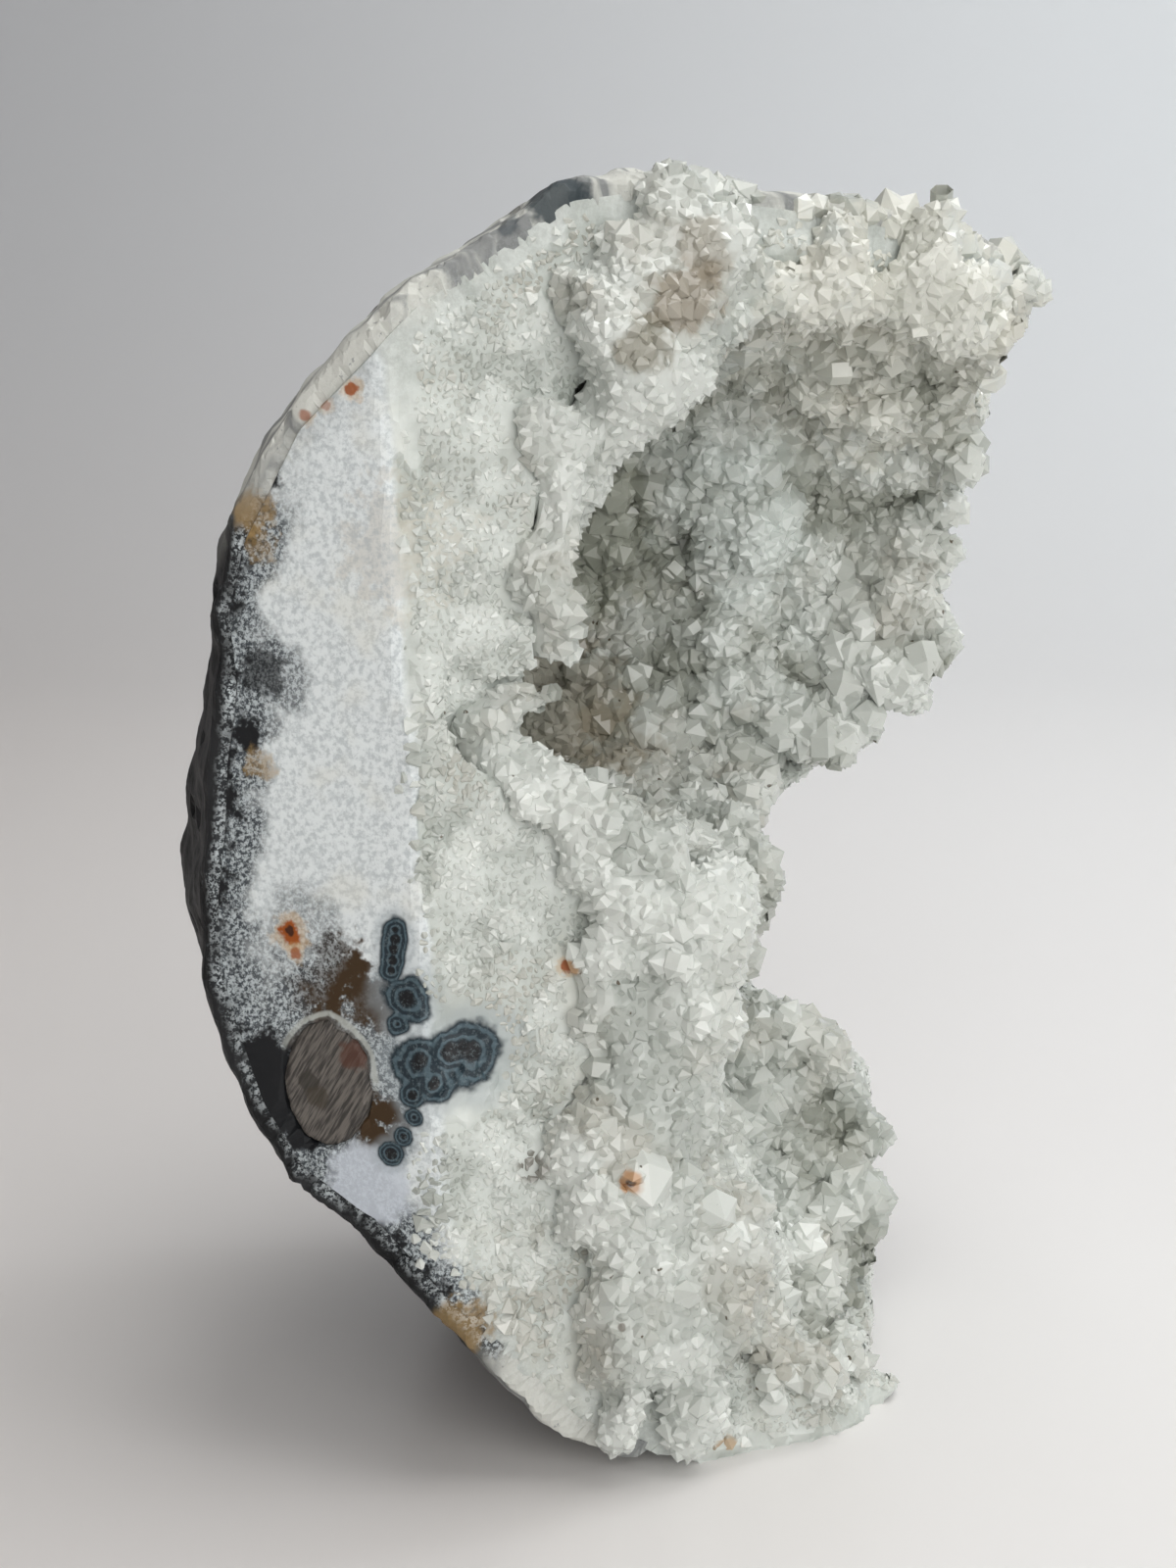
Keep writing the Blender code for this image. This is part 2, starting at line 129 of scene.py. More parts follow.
def remesh(thing, voxel):
    """Small even faces, all over a closed piece."""
    modifier = thing.modifiers.new("voxels", "REMESH")
    modifier.mode = "VOXEL"
    modifier.voxel_size = voxel * MM
    apply_modifier(thing, modifier)


def smooth(thing, times, amount=0.5):
    modifier = thing.modifiers.new("smooth", "SMOOTH")
    modifier.iterations = times
    modifier.factor = amount
    apply_modifier(thing, modifier)


def places(thing):
    """The places of a mesh's points, in millimetres."""
    flat = np.empty(len(thing.data.vertices) * 3, np.float32)
    thing.data.vertices.foreach_get("co", flat)
    return flat.reshape(-1, 3).astype(float) / MM


def normals(thing):
    flat = np.empty(len(thing.data.vertices) * 3, np.float32)
    thing.data.vertex_normals.foreach_get("vector", flat)
    return flat.reshape(-1, 3).astype(float)


def put_places(thing, points):
    thing.data.vertices.foreach_set("co", (points * MM).astype(np.float32).ravel())
    thing.data.update()


def keep_value(thing, name, values):
    """Writes one number for each point, for the materials and the sowing to read."""
    layer = thing.data.attributes.new(name, "FLOAT", "POINT")
    layer.data.foreach_set("value", np.asarray(values, np.float32))


def triangles(thing):
    return sum(len(face.vertices) - 2 for face in thing.data.polygons)


# %% [markdown]
# Stone has the same kind of roughness at many sizes. `swell` is soft noise, one number for each
# point. `cells` is the distance to the nearest of many scattered seeds, which makes rounded
# knobs side by side, as clumps of crystals have. `away` measures how far each point is from
# another mesh, so that a colour or a crop of crystals can stop at a border.


# %% Noise and distance
DOME_WIDTH = 0.85


def swell(points, length):
    return np.array([noise.noise(Vector(p) / length) for p in points])


def cells(points, length):
    """How far each point is from the middle of its knob, and one random number for each knob."""
    gaps = np.empty(len(points))
    lots = np.empty(len(points))
    for i, p in enumerate(points):
        distances, seeds = noise.voronoi(Vector(p) / length)
        gaps[i] = distances[0]
        lots[i] = math.sin(seeds[0].x * 91.7 + seeds[0].y * 47.3 + seeds[0].z * 71.9) * 0.5 + 0.5
    return gaps, lots


def tree_of(thing):
    mesh = thing.data
    points = [v.co / MM for v in mesh.vertices]
    return BVHTree.FromPolygons(points, [tuple(face.vertices) for face in mesh.polygons])


def dome(gaps):
    """1 on top of a round knob, 0 in the crease where it meets the next."""
    return np.sqrt(1.0 - np.clip(gaps / DOME_WIDTH, 0.0, 1.0) ** 2)


def away(points, tree):
    return np.array([tree.find_nearest(Vector(p))[3] for p in points])


def grow_onto(points, tree, reach, over):
    """Moves the points that are near another mesh onto it, and a little into it."""
    moved = points.copy()
    for i, p in enumerate(points):
        place, _, _, gap = tree.find_nearest(Vector(p))
        if 0.0 < gap < reach:
            towards = np.array(place) - p
            moved[i] = p + towards * (1.0 + over / gap)
    return moved


def smoothstep(values, low, high):
    share = np.clip((values - low) / (high - low), 0.0, 1.0)
    return share * share * (3 - 2 * share)


print("tools ready")

# %% [markdown]
# ## The two faces of the break
# The saw left a plane on the left of the ridge, and the hammer left a rough face on its right.
# These are the same planes that the solids were cut with, as how far back the face lies (y) at
# each x and height. Every stain below is placed on them.

# %% Planes of the faces
CENTRE_HEIGHT = 53.0
RIDGE = (-28.0, -20.0)
SAWN_SLOPE = (-0.376, 0.06)
BROKEN_SLOPE = (0.40, 0.11)


def face_depth(x, z, slope):
    return RIDGE[1] + slope[0] * (x - RIDGE[0]) + slope[1] * (z - CENTRE_HEIGHT)


def on_front(x, z):
    """The place on the front of the wall at this x and height."""
    return (x, max(face_depth(x, z, SAWN_SLOPE), face_depth(x, z, BROKEN_SLOPE)), z)


# %% [markdown]
# ## The quartz wall
# The wall is one thick mass of white quartz. Its sawn side is flat and dull, and its broken side
# is rough like a sugar lump. The copy is remeshed with faces of three quarters of a millimetre;
# then the broken side is pushed in and out by knobs and small chips, and the sawn side only by
# the faint waves that a saw leaves.

# %% Carve the wall
wall = copy_of_solid("quartz_wall", "quartz_wall_stone")
skin_shape = copy_of_solid("basalt_rind", "basalt_rind_stone")
crust_shape = copy_of_solid("crystal_crust", "crystal_crust_base")
lump = copy_of_solid("basalt_inclusion", "basalt_inclusion_stone")
wall_tree = tree_of(wall)
skin_tree = tree_of(skin_shape)
lump_tree = tree_of(lump)
crust_solid_tree = tree_of(crust_shape)

WALL_VOXEL = 0.72
SAWN_DEPTH = 0.7  # a point this close to the saw's plane is on the sawn face
PALE_HEIGHT = 82.0  # above this the skin has turned pale near the break
GAP = 0.3  # the solids keep this far apart, but the real skin is grown onto the wall
GROWN_REACH = 1.0
GROWN_OVER = 0.15
remesh(wall, WALL_VOXEL)
points = places(wall)
facing = normals(wall)
x, y, z = points.T
behind_saw = y - face_depth(x, z, SAWN_SLOPE)
behind_break = y - face_depth(x, z, BROKEN_SLOPE)
sawn = smoothstep(-behind_saw, -SAWN_DEPTH, -0.3) * smoothstep(-facing[:, 1], 0.5, 0.8)
sawn *= x < RIDGE[0] + 6
skin_distance = away(points, skin_tree)
broken = (1 - sawn) * smoothstep(skin_distance, 0.8, 2.5)
chip_gaps, chip_lots = cells(points, 4.5)
small_gaps, small_lots = cells(points, 1.9)
knobs = 0.7 * swell(points, 4.0) + 0.5 * (chip_lots - 0.5) + 0.25 * (dome(small_gaps) - 0.5)
waves = 0.05 * swell(points, 6.0)
raised = np.where(points[:, 2] > 1.0, broken * knobs + sawn * waves, 0.0)
carved = grow_onto(points + facing * raised[:, None], skin_tree, GROWN_REACH, GROWN_OVER)
put_places(wall, np.where(points[:, 2:] > 1.0, carved, points))
keep_value(wall, "sawn", sawn)
keep_value(wall, "skin_distance", skin_distance)
keep_value(wall, "lump_distance", away(points, lump_tree))
keep_value(wall, "tone", 0.55 * chip_lots + 0.45 * small_lots)
high = smoothstep(z + 4.0 * swell(points, 7.0), PALE_HEIGHT - 4.0, PALE_HEIGHT + 4.0)
keep_value(wall, "pale", np.maximum(high, smoothstep(x, -25.0, -20.0)))
print("wall:", triangles(wall), "triangles")

# %% [markdown]
# ## The basalt skin
# The black skin is a thin shell of the rock that the geode grew in. Outside it is lumpy, with
# small open bubbles; each bubble is a dip with a sharp rim, made by pushing in the points near
# the scattered seeds of a cell pattern.

# %% Carve the skin
SKIN_VOXEL = 0.7
BUBBLE_LENGTH = 4.2
BUBBLE_RADIUS = 0.30  # as a share of the distance between bubbles
remesh(skin_shape, SKIN_VOXEL)
points = places(skin_shape)
facing = normals(skin_shape)
outward = np.einsum("ij,ij->i", facing, points - (0.0, 0.0, CENTRE_HEIGHT)) > 0
bubbles = smoothstep(cells(points, BUBBLE_LENGTH)[0], BUBBLE_RADIUS, 0.5 * BUBBLE_RADIUS)
raised = 0.55 * swell(points, 5.0) + 0.25 * swell(points, 1.9) - 0.6 * bubbles
raised = np.where(outward & (points[:, 2] > 1.8), raised, 0.0)
carved = grow_onto(points + facing * raised[:, None], wall_tree, GROWN_REACH, GROWN_OVER)
put_places(skin_shape, np.where(points[:, 2:] > 1.0, carved, points))
keep_value(skin_shape, "wall_distance", away(points, wall_tree))
x, y, z = points.T
behind = y - np.maximum(face_depth(x, z, SAWN_SLOPE), face_depth(x, z, BROKEN_SLOPE))
high = smoothstep(z + 4.0 * swell(points, 7.0), PALE_HEIGHT - 4.0, PALE_HEIGHT + 4.0)
foot = smoothstep(z + 3.0 * swell(points, 7.0), 15.0, 9.0) * smoothstep(x, -25.0, -20.0)
high = np.maximum(high, foot)
keep_value(skin_shape, "pale", high * smoothstep(behind + 6.0 * swell(points, 6.0), 13.0, 6.0))
print("skin:", triangles(skin_shape), "triangles")

# %% [markdown]
# ## The brown lump
# A pebble of the same rock, caught in the wall and sawn through with it. Only its cut face shows,
# flat and streaked by the saw, so the copy gets fine faces and stays as it is. The streaks are a
# bump in its material.

# %% The lump
LUMP_VOXEL = 0.25
remesh(lump, LUMP_VOXEL)
points = places(lump)
facing = normals(lump)
in_pocket = smoothstep(points[:, 1] - face_depth(points[:, 0], points[:, 2], SAWN_SLOPE), 0.1, 0.5)
put_places(lump, points + facing * (in_pocket * GAP)[:, None])
print("lump:", triangles(lump), "triangles")

# %% [markdown]
# ## The ground of the crust
# The crystals of the hollow grew as a crust of round clumps. The copy of the crust's solid is
# remeshed, softened, and swollen into knobs about 5 mm across. What touches the wall stays put,
# so the crust never comes through it. The `sow` value is 1 where crystals may grow: on the free
# side only.

# %% Swell the crust
CRUST_VOXEL = 0.72
CLUMP_LENGTH = 9.0
KNOB_LENGTH = 4.2
remesh(crust_shape, CRUST_VOXEL)
smooth(crust_shape, 6)
points = places(crust_shape)
facing = normals(crust_shape)
free = smoothstep(away(points, wall_tree), 0.7, 1.6)
near_front = smoothstep(points[:, 1] - face_depth(points[:, 0], points[:, 2], BROKEN_SLOPE), 9.0, 1.0)
relief = 1.0 - 0.6 * near_front
clump_gaps, clump_lots = cells(points, CLUMP_LENGTH)
knob_gaps, knob_lots = cells(points, KNOB_LENGTH)
clumps = dome(clump_gaps)
knobs = dome(knob_gaps)
raised = 2.2 * (clumps - 0.5) + 1.0 * (knobs - 0.5) + 1.2 * (clump_lots - 0.5) + 0.7 * (knob_lots - 0.5)
raised = relief * (raised + 0.35 * swell(points, 1.6)) - 0.45
put_places(crust_shape, points + facing * (free * raised)[:, None])
keep_value(crust_shape, "sow", smoothstep(away(points, wall_tree), 0.35, 0.8))
keep_value(crust_shape, "tone", 0.55 * clump_lots + 0.45 * knob_lots)
# Painted shade: the value kept here is high in the creases between the round clumps and knobs, and the crystal
# finish darkens the crust there.
keep_value(crust_shape, "crease_shade", (1.0 - 0.6 * near_front) * (1.0 - 0.65 * clumps - 0.35 * knobs))
coarse = 0.75 + 0.6 * smoothstep(swell(points, 9.0), 0.0, 0.5)
fine = 0.55 + 0.4 * smoothstep(swell(points, 5.0), -0.1, 0.4)
keep_value(crust_shape, "size", near_front * fine + (1 - near_front) * coarse)
print("crust:", triangles(crust_shape), "triangles")

# %% [markdown]
# ## One quartz crystal
# Quartz grows as a six-sided prism under a six-sided point. It starts as a six-sided cylinder;
# its top face is extruded and merged to a point, and its bottom face, always hidden in the
# ground, is deleted. Real points are seldom even, so two more get their tips pushed aside and
# their bodies flattened. The sugar of the broken face needs only the six-sided points.

# %% Model the crystals
CRYSTAL_BODY = 0.6  # height of the prism, for a crystal 1 across
CRYSTAL_POINT = 0.42
CRYSTAL_SINK = 0.36  # how deep its middle sits under the ground it grows on


def put_in(name, thing):
    """Moves a modelled thing out of the scene and into a box to plant from."""
    for owner in list(thing.users_collection):
        owner.objects.unlink(thing)
    box = bpy.data.collections.get(name) or bpy.data.collections.new(name)
    box.objects.link(thing)
    return box


def model_crystal(name, tip_shift, squeeze):
    bpy.ops.object.select_all(action="DESELECT")
    bpy.ops.mesh.primitive_cylinder_add(vertices=6, radius=0.5, depth=CRYSTAL_BODY)
    crystal = bpy.context.object
    crystal.name = name
    bpy.ops.object.mode_set(mode="EDIT")
    bpy.ops.mesh.select_mode(type="FACE")
    bpy.ops.mesh.select_all(action="DESELECT")
    shape = bmesh.from_edit_mesh(crystal.data)
    bottom = min(shape.faces, key=lambda face: face.calc_center_median().z)
    bmesh.ops.delete(shape, geom=[bottom], context="FACES_ONLY")
    top = max(shape.faces, key=lambda face: face.calc_center_median().z)
    top.select_set(True)
    bmesh.update_edit_mesh(crystal.data)
    move = {"value": (tip_shift[0], tip_shift[1], CRYSTAL_POINT)}
    bpy.ops.mesh.extrude_region_move(TRANSFORM_OT_translate=move)
    bpy.ops.mesh.merge(type="CENTER")
    bpy.ops.mesh.select_all(action="SELECT")
    bpy.ops.transform.resize(value=(1.0, squeeze, 1.0))
    bpy.ops.transform.translate(value=(0.0, 0.0, -CRYSTAL_SINK))
    bpy.ops.object.mode_set(mode="OBJECT")
    return crystal


def model_point(name, squeeze):
    bpy.ops.object.select_all(action="DESELECT")
    bpy.ops.mesh.primitive_cone_add(vertices=6, radius1=0.6, radius2=0.0, depth=0.6, end_fill_type="NOTHING")
    point = bpy.context.object
    point.name = name
    bpy.ops.object.mode_set(mode="EDIT")
    bpy.ops.mesh.select_all(action="SELECT")
    bpy.ops.transform.resize(value=(1.0, squeeze, 1.0))
    bpy.ops.object.mode_set(mode="OBJECT")
    return point


for name, tip_shift, squeeze in (
    ("crystal_even", (0.0, 0.0), 1.0),
    ("crystal_leaning", (0.20, 0.06), 0.85),
    ("crystal_flat", (-0.12, 0.2), 0.65),
):
    crystal_box = put_in("crystals", model_crystal(name, tip_shift, squeeze))
for name, squeeze in (("point_even", 1.0), ("point_flat", 0.6)):
    point_box = put_in("points", model_point(name, squeeze))

# %% [markdown]
# ## Sowing crystals
# Thousands of crystals are too many to place by hand. Geometry Nodes scatters points over the
# ground with a least distance between them, turns each crystal out of the ground with a random
# lean, and gives it a size. Each also gets a random `tint`, so that neighbours differ a little
# in colour. Realized, they are one mesh.


# %% A sowing machine
def sow(name, ground, planted, spacing, sizes, lean, seed):
    """Crystals from a box grown on a mesh wherever its `sow` value is high."""
    tree = bpy.data.node_groups.new(name, "GeometryNodeTree")
    tree.interface.new_socket("Ground", in_out="INPUT", socket_type="NodeSocketGeometry")
    tree.interface.new_socket("Crop", in_out="OUTPUT", socket_type="NodeSocketGeometry")
    nodes = tree.nodes
    link = tree.links.new
    start = nodes.new("NodeGroupInput")
    end = nodes.new("NodeGroupOutput")

    scatter = nodes.new("GeometryNodeDistributePointsOnFaces")
    scatter.distribute_method = "POISSON"
    scatter.inputs["Distance Min"].default_value = spacing * MM
    scatter.inputs["Density Max"].default_value = 4.0 / (spacing * MM) ** 2
    scatter.inputs["Seed"].default_value = seed
    mask = nodes.new("GeometryNodeInputNamedAttribute")
    mask.data_type = "FLOAT"
    mask.inputs["Name"].default_value = "sow"
    link(start.outputs[0], scatter.inputs["Mesh"])
    link(mask.outputs["Attribute"], scatter.inputs["Density Factor"])

    turn = nodes.new("FunctionNodeRandomValue")
    turn.data_type = "FLOAT_VECTOR"
    turn.inputs["Min"].default_value = (-lean, -lean, 0.0)
    turn.inputs["Max"].default_value = (lean, lean, 2 * math.pi)
    turn.inputs["Seed"].default_value = seed + 1
    to_rotation = nodes.new("FunctionNodeEulerToRotation")
    rotate = nodes.new("FunctionNodeRotateRotation")
    rotate.rotation_space = "LOCAL"
    link(turn.outputs["Value"], to_rotation.inputs[0])
    link(scatter.outputs["Rotation"], rotate.inputs["Rotation"])
    link(to_rotation.outputs[0], rotate.inputs["Rotate By"])

    size = nodes.new("FunctionNodeRandomValue")
    size.data_type = "FLOAT"
    floats = [socket for socket in size.inputs if socket.type == "VALUE" and socket.enabled]
    floats[0].default_value = sizes[0] * MM
    floats[1].default_value = sizes[1] * MM
    size.inputs["Seed"].default_value = seed + 2

    box = nodes.new("GeometryNodeCollectionInfo")
    box.inputs["Collection"].default_value = planted
    box.inputs["Separate Children"].default_value = True
    box.inputs["Reset Children"].default_value = True
    plant = nodes.new("GeometryNodeInstanceOnPoints")
    plant.inputs["Pick Instance"].default_value = True
    link(scatter.outputs["Points"], plant.inputs["Points"])
    link(box.outputs[0], plant.inputs["Instance"])
    link(rotate.outputs[0], plant.inputs["Rotation"])
    local = nodes.new("GeometryNodeInputNamedAttribute")
    local.data_type = "FLOAT"
    local.inputs["Name"].default_value = "size"
    scale = nodes.new("ShaderNodeMath")
    scale.operation = "MULTIPLY"
    link(size.outputs[1], scale.inputs[0])
    link(local.outputs["Attribute"], scale.inputs[1])
    link(scale.outputs[0], plant.inputs["Scale"])

    tint = nodes.new("FunctionNodeRandomValue")
    tint.data_type = "FLOAT"
    tint.inputs["Seed"].default_value = seed + 3
    store = nodes.new("GeometryNodeStoreNamedAttribute")
    store.data_type = "FLOAT"
    store.domain = "INSTANCE"
    store.inputs["Name"].default_value = "tint"
    link(plant.outputs[0], store.inputs["Geometry"])
    link(tint.outputs[1], store.inputs["Value"])
    realize = nodes.new("GeometryNodeRealizeInstances")
    link(store.outputs[0], realize.inputs[0])
    link(realize.outputs[0], end.inputs[0])

    crop = bpy.data.objects.new(name, ground.data.copy())
    bpy.context.collection.objects.link(crop)
    modifier = crop.modifiers.new("sow", "NODES")
    modifier.node_group = tree
    apply_modifier(crop, modifier)
    print(name, triangles(crop), "triangles")
    return crop


crust_points = sow("crust_points", crust_shape, crystal_box, 1.0, (1.5, 3.0), 0.45, 3)

# %% [markdown]
# On the far side of the hollow the crust has grown over the rim and hides the skin, so the same
# crystals are sown on the edge of the skin there.

# %% Sow the far rim
points = places(skin_shape)
facing = normals(skin_shape)
x, y, z = points.T
crust_tree = tree_of(crust_shape)
by_crust = smoothstep(away(points, crust_tree), 3.5, 1.5)
keep_value(skin_shape, "sow", by_crust * smoothstep(x, -6.0, -2.0) * smoothstep(z, 56.0, 62.0))
keep_value(skin_shape, "size", 0.8 + 0.6 * smoothstep(swell(points, 5.0), -0.2, 0.4))
keep_value(skin_shape, "crease_shade", np.zeros(len(points)))
keep_value(skin_shape, "tone", cells(points, KNOB_LENGTH)[1])
rim_points = sow("rim_points", skin_shape, crystal_box, 1.1, (1.9, 3.6), 0.5, 8)

# %% [markdown]
# A few crystals in front are much larger than the rest. They are copies of the same three,
# gathered in small fans listed one by one: a place, the way the fan looks, how many, how large, how wide.

# %% Place the large crystals
FANS = (
    ((-2.2, -15.8, 21.2), (0.55, -0.75, -0.30), 7, 4.2, 2.3),
    ((-6.6, -19.8, 16.0), (0.10, -1.0, 0.10), 7, 3.8, 2.2),
    ((-10.2, -20.6, 26.4), (0.10, -0.9, -0.45), 5, 5.0, 2.2),
    ((-7.4, -16.8, 49.0), (0.45, -0.85, 0.25), 6, 5.2, 2.8),
    ((-3.0, -13.5, 8.0), (0.5, -0.8, 0.3), 6, 4.0, 2.8),
)
FAN_SPREAD = 0.35  # how far the crystals of a fan lean apart
chance = random.Random(5)
large = bpy.data.objects.new("large_crystals", bpy.data.meshes.new("large_crystals"))
bpy.context.collection.objects.link(large)
grown = []
for centre, towards, count, size, width in FANS:
    for _ in range(count):
        model = chance.choice(list(crystal_box.objects))
        crystal = bpy.data.objects.new("grown", model.data.copy())
        bpy.context.collection.objects.link(crystal)
        aside = Vector([chance.uniform(-1, 1) for _ in range(3)])
        crystal.location = (Vector(centre) + aside * width * 0.6) * MM
        heading = Vector(towards).normalized() + aside * FAN_SPREAD
        crystal.rotation_euler = heading.to_track_quat("Z", "Y").to_euler()
        crystal.scale = [size * chance.uniform(0.7, 1.1) * MM] * 3
        for label in ("tint", "tone"):
            keep_value(crystal, label, np.full(len(crystal.data.vertices), chance.uniform(0.2, 0.85)))
        grown.append(crystal)
pick(large)
for crystal in grown:
    crystal.select_set(True)
bpy.ops.object.join()
print("large crystals:", len(grown), "in", len(FANS), "fans")

# %% [markdown]
# ## Sugar on the broken face
# The broken side of the wall sparkles, because it is made of the sides of thousands of small
# crystals. They are the same crystals, less than a millimetre across, sown on the wall between
# the ridge and the crust.

# %% Sow the sugar
points = places(wall)
x, y, z = points.T
past_ridge = smoothstep(x + 1.2 * swell(points, 5.0), -29.0, -27.0)
eye_away = np.hypot(x + 26.0, z - 36.8)
bare = smoothstep(away(points, skin_tree), 1.0, 2.2) * smoothstep(away(points, crust_solid_tree), 0.15, 0.55)
bare *= past_ridge * np.maximum(smoothstep(eye_away, 5.0, 6.4), y > 0.0)
keep_value(wall, "sow", bare * smoothstep(z, 0.8, 2.0))
keep_value(wall, "crease_shade", np.zeros(len(points)))
keep_value(wall, "size", 0.8 + 0.6 * smoothstep(swell(points, 6.0), 0.0, 0.5))
sugar = sow("sugar_points", wall, point_box, 0.5, (0.7, 1.3), 0.8, 21)

# %% [markdown]
# ## Node groups for the finishes
# Three effects turn up in more than one finish, so each is a node group with its own sockets.
# `waver` is noise about zero, which makes the edge of a stain wavy. `speckle` is salt and pepper:
# fine noise pushed through a steep ramp, from a dark tone to a light one. `spot` is one spot of
# colour: how near a point is to a place on the stone, with a waver added to the distance. Most spots are stains; a
# few are painted shade or a painted highlight.

# %% Helpers for shader nodes


def group(name, inputs, outputs):
    tree = bpy.data.node_groups.new(name, "ShaderNodeTree")
    for label, kind, value in inputs:
        socket = tree.interface.new_socket(label, in_out="INPUT", socket_type=kind)
        socket.default_value = value
    for label, kind in outputs:
        tree.interface.new_socket(label, in_out="OUTPUT", socket_type=kind)
    return tree, tree.nodes.new("NodeGroupInput"), tree.nodes.new("NodeGroupOutput")


def math_node(tree, operation, a, b=0.0, clamp=False):
    node = tree.nodes.new("ShaderNodeMath")
    node.operation = operation
    node.use_clamp = clamp
    for socket, value in zip(node.inputs, (a, b)):
        if isinstance(value, (int, float)):
            socket.default_value = value
        else:
            tree.links.new(value, socket)
    return node.outputs[0]


def ramp(tree, value, low, high, to_low=0.0, to_high=1.0):
    """A value stretched from one range to another, smooth at both ends."""
    node = tree.nodes.new("ShaderNodeMapRange")
    node.interpolation_type = "SMOOTHSTEP"
    for label, number in (("From Min", low), ("From Max", high), ("To Min", to_low), ("To Max", to_high)):
        node.inputs[label].default_value = number
    tree.links.new(value, node.inputs["Value"])
    return node.outputs["Result"]


def noise_node(tree, scale, detail=2.0, roughness=0.5, vector=None):
    node = tree.nodes.new("ShaderNodeTexNoise")
    node.inputs["Scale"].default_value = scale
    node.inputs["Detail"].default_value = detail
    node.inputs["Roughness"].default_value = roughness
    if vector is None:
        vector = object_places(tree)
    tree.links.new(vector, node.inputs["Vector"])
    return node


def object_places(tree):
    found = tree.nodes.get("Texture Coordinate") or tree.nodes.new("ShaderNodeTexCoord")
    return found.outputs["Object"]


def attribute(tree, name):
    node = tree.nodes.new("ShaderNodeAttribute")
    node.attribute_name = name
    return node.outputs["Fac"]


def mix(tree, share, first, second):
    """One colour over another."""
    node = tree.nodes.new("ShaderNodeMix")
    node.data_type = "RGBA"
    colours = [socket for socket in node.inputs if socket.type == "RGBA"]
    for socket, value in zip([node.inputs[0]] + colours, (share, first, second)):
        if isinstance(value, (int, float)):
            socket.default_value = value
        elif isinstance(value, tuple):
            socket.default_value = (*value, 1.0)
        else:
            tree.links.new(value, socket)
    return [socket for socket in node.outputs if socket.type == "RGBA"][0]


FLOAT = "NodeSocketFloat"
COLOUR = "NodeSocketColor"
print("shader helpers ready")

# %% Waver, speckle and spot
waver_group, waver_in, waver_out = group(
    "waver",
    (("Scale", FLOAT, 400.0), ("Amount", FLOAT, 1.0)),
    (("Value", FLOAT),),
)
wavy = noise_node(waver_group, 1.0, 3.0, 0.6)
waver_group.links.new(waver_in.outputs["Scale"], wavy.inputs["Scale"])
about_zero = math_node(waver_group, "SUBTRACT", wavy.outputs["Fac"], 0.5)
wavered = math_node(waver_group, "MULTIPLY", about_zero, waver_in.outputs["Amount"])
waver_group.links.new(wavered, waver_out.inputs["Value"])

speckle_group, speckle_in, speckle_out = group(
    "speckle",
    (
        ("Scale", FLOAT, 2400.0),
        ("Low", FLOAT, 0.4),
        ("High", FLOAT, 0.6),
        ("Dark", COLOUR, (0.05, 0.05, 0.05, 1.0)),
        ("Light", COLOUR, (0.5, 0.5, 0.5, 1.0)),
    ),
    (("Color", COLOUR), ("Grain", FLOAT)),
)
grains = noise_node(speckle_group, 1.0, 2.0, 0.8)
speckle_group.links.new(speckle_in.outputs["Scale"], grains.inputs["Scale"])
steep = speckle_group.nodes.new("ShaderNodeMapRange")
steep.interpolation_type = "SMOOTHSTEP"
speckle_group.links.new(grains.outputs["Fac"], steep.inputs["Value"])
speckle_group.links.new(speckle_in.outputs["Low"], steep.inputs["From Min"])
speckle_group.links.new(speckle_in.outputs["High"], steep.inputs["From Max"])
tones = mix(speckle_group, steep.outputs["Result"], speckle_in.outputs["Dark"], speckle_in.outputs["Light"])
speckle_group.links.new(tones, speckle_out.inputs["Color"])
speckle_group.links.new(grains.outputs["Fac"], speckle_out.inputs["Grain"])

SPOT_DEPTH = 0.3  # a stain reaches this many times deeper than it is wide
spot_group, spot_in, spot_out = group(
    "spot",
    (("Place", "NodeSocketVector", (0.0, 0.0, 0.0)), ("Radius", FLOAT, 0.001), ("Swing", FLOAT, 0.0)),
    (("Near", FLOAT), ("Mask", FLOAT)),
)
offset = spot_group.nodes.new("ShaderNodeVectorMath")
offset.operation = "SUBTRACT"
spot_group.links.new(object_places(spot_group), offset.inputs[0])
spot_group.links.new(spot_in.outputs["Place"], offset.inputs[1])
flat = spot_group.nodes.new("ShaderNodeVectorMath")
flat.operation = "MULTIPLY"
flat.inputs[1].default_value = (1.0, SPOT_DEPTH, 1.0)
spot_group.links.new(offset.outputs["Vector"], flat.inputs[0])
far = spot_group.nodes.new("ShaderNodeVectorMath")
far.operation = "LENGTH"
spot_group.links.new(flat.outputs["Vector"], far.inputs[0])
near = math_node(spot_group, "DIVIDE", far.outputs["Value"], spot_in.outputs["Radius"])
near = math_node(spot_group, "ADD", near, spot_in.outputs["Swing"])
spot_group.links.new(near, spot_out.inputs["Near"])
spot_group.links.new(ramp(spot_group, near, 1.15, 0.7), spot_out.inputs["Mask"])


def spot(tree, place, radius, swing):
    node = tree.nodes.new("ShaderNodeGroup")
    node.node_tree = spot_group
    node.inputs["Place"].default_value = Vector(place) * MM
    node.inputs["Radius"].default_value = radius * MM
    tree.links.new(swing, node.inputs["Swing"])
    return node


def swing_of(tree, scale, amount):
    """Noise about zero, to make the edge of a spot wavy."""
    node = tree.nodes.new("ShaderNodeGroup")
    node.node_tree = waver_group
    node.inputs["Scale"].default_value = scale
    node.inputs["Amount"].default_value = amount
    return node.outputs["Value"]


def speckle(tree, scale, limits, dark, light):
    node = tree.nodes.new("ShaderNodeGroup")
    node.node_tree = speckle_group
    for label, value in (("Scale", scale), ("Low", limits[0]), ("High", limits[1])):
        node.inputs[label].default_value = value
    node.inputs["Dark"].default_value = (*dark, 1.0)
    node.inputs["Light"].default_value = (*light, 1.0)
    return node


